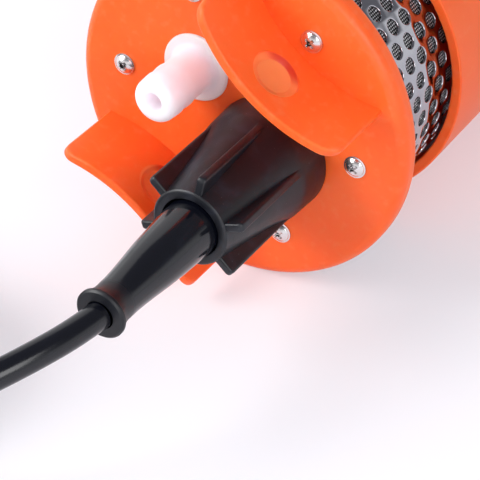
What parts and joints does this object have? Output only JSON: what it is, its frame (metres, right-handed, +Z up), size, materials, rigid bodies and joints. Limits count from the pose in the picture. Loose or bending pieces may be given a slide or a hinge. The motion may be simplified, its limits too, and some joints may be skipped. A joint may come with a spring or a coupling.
{
  "type": "submersible pump",
  "caption": "Slim submersible well and sump pump lying on its side: flanged end cap with lifting ears, barbed outlet, cable gland, perforated strainer and sealed motor casing.",
  "frame": {"origin": "centre of the footprint on the floor, cable left out", "axes": "+Y along the pump axis from the outlet end to the base, +Z up, lying on its side"},
  "size_m": [0.1877, 0.4282, 0.104],
  "materials": {
    "orange_abs": "satin",
    "natural_plastic": "gloss",
    "black_nylon": "matte",
    "acetal": "matte",
    "black_rubber": "matte",
    "cable_jacket": "gloss",
    "stainless": "polished",
    "mesh_steel": "satin",
    "plated_screws": "bright",
    "alloy": "satin",
    "brass": "satin",
    "copper": "enamelled copper",
    "motor_steel": "satin",
    "zinc_can": "satin",
    "ferrite": "matte",
    "carbon": "matte",
    "grey_pvc": "matte"
  },
  "bodies": {
    "pump": {"end_cap": "orange_abs", "motor_casing": "orange_abs", "base_cap": "orange_abs", "end_cap_screws": "plated_screws", "outlet_nozzle": "natural_plastic", "nozzle_o_ring": "black_rubber", "gland_seal": "black_rubber", "cable_boot": "black_rubber", "cable": "cable_jacket", "cable_coil": "cable_jacket", "coil_tie": "black_nylon", "cable_plug": "black_rubber", "plug_contacts": "brass", "strainer_screen": "stainless", "strainer_mesh": "mesh_steel", "standoff_posts": "stainless", "pump_head": "acetal", "valve_plate": "acetal", "pump_screws": "stainless", "diaphragm": "black_rubber", "lead_conduit": "grey_pvc", "lead_wires": "copper", "drive_housing": "alloy", "housing_o_ring": "black_rubber", "retaining_ring": "motor_steel", "shaft_seal": "black_rubber", "front_bell": "alloy", "front_bearing": "motor_steel", "motor_can": "zinc_can", "field_magnets": "ferrite", "brush_holder": "black_nylon", "carbon_brushes": "carbon", "brush_springs": "motor_steel", "rear_bell": "alloy", "rear_bearing": "motor_steel", "terminal_block": "black_nylon", "motor_cushion": "black_rubber", "base_o_ring": "black_rubber", "base_cap_screws": "plated_screws"},
    "gland_washer": {"thrust_ring": "acetal"},
    "gland_cap": {"gland_nut": "black_nylon"},
    "rotor": {"motor_shaft": "motor_steel", "armature_core": "motor_steel", "armature_windings": "copper", "commutator": "brass", "eccentric_cam": "alloy", "cam_set_screw": "motor_steel"},
    "swash": {"wobble_plate": "acetal", "cam_bearing": "motor_steel", "diaphragm_pads": "black_rubber"},
    "inlet_flap_1": {"inlet_valve_1": "black_rubber"},
    "inlet_flap_2": {"inlet_valve_2": "black_rubber"},
    "inlet_flap_3": {"inlet_valve_3": "black_rubber"},
    "outlet_flap": {"outlet_valve": "black_rubber"}
  },
  "joints": [
    {"name": "gland_travel", "type": "slide", "parent": "pump", "child": "gland_washer", "axis": [0, -1, 0], "range_m": [0, 0.005]},
    {"name": "gland_turn", "type": "hinge", "parent": "gland_washer", "child": "gland_cap", "pos_m": [0.01108, -0.11334, 0.04327], "axis": [0, -1, 0], "range_deg": [0, 720]},
    {"name": "rotor_spin", "type": "hinge", "parent": "pump", "child": "rotor", "pos_m": [0, -0.03484, 0.052], "axis": [0, 1, 0], "continuous": true},
    {"name": "swash_roll", "type": "hinge", "parent": "rotor", "child": "swash", "pos_m": [0, -0.05034, 0.052], "axis": [0.061, 0.9981, 0], "continuous": true},
    {"name": "inlet_lift_1", "type": "slide", "parent": "pump", "child": "inlet_flap_1", "axis": [0, 1, 0], "range_m": [0, 0.0007], "stiffness_N_per_m": 20},
    {"name": "inlet_lift_2", "type": "slide", "parent": "pump", "child": "inlet_flap_2", "axis": [0, 1, 0], "range_m": [0, 0.0007], "stiffness_N_per_m": 20},
    {"name": "inlet_lift_3", "type": "slide", "parent": "pump", "child": "inlet_flap_3", "axis": [0, 1, 0], "range_m": [0, 0.0007], "stiffness_N_per_m": 20},
    {"name": "outlet_lift", "type": "slide", "parent": "pump", "child": "outlet_flap", "axis": [0, -1, 0], "range_m": [0, 0.001], "stiffness_N_per_m": 20}
  ],
  "couplings": [
    {"joint": "gland_travel", "follows": "gland_turn", "m_per_rad": 0.00039789},
    {"joint": "swash_roll", "follows": "rotor_spin", "ratio": -1}
  ]
}
